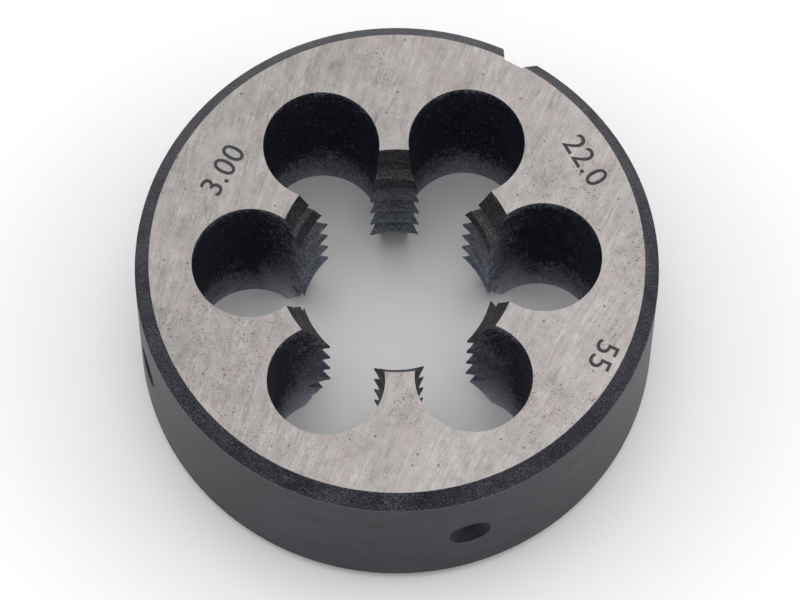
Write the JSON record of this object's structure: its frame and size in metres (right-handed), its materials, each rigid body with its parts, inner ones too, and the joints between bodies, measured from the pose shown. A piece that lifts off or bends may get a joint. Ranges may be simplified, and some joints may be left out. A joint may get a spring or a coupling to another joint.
{
  "type": "threading die",
  "caption": "Round one-piece threading die with chip flutes round a threaded opening, a V notch and screw seats in the rim, for cutting external threads.",
  "frame": {"origin": "centre of the back face, on the thread axis", "axes": "+Z along the thread axis towards the marked lead face, +Y through the V notch in the rim, +X to the right of the notch"},
  "size_m": [0.055, 0.0549, 0.022],
  "materials": {
    "tool_steel": "ground faces, dark hardened rim and flute walls"
  },
  "bodies": {
    "root": {"threading_die": "tool_steel"}
  },
  "joints": []
}
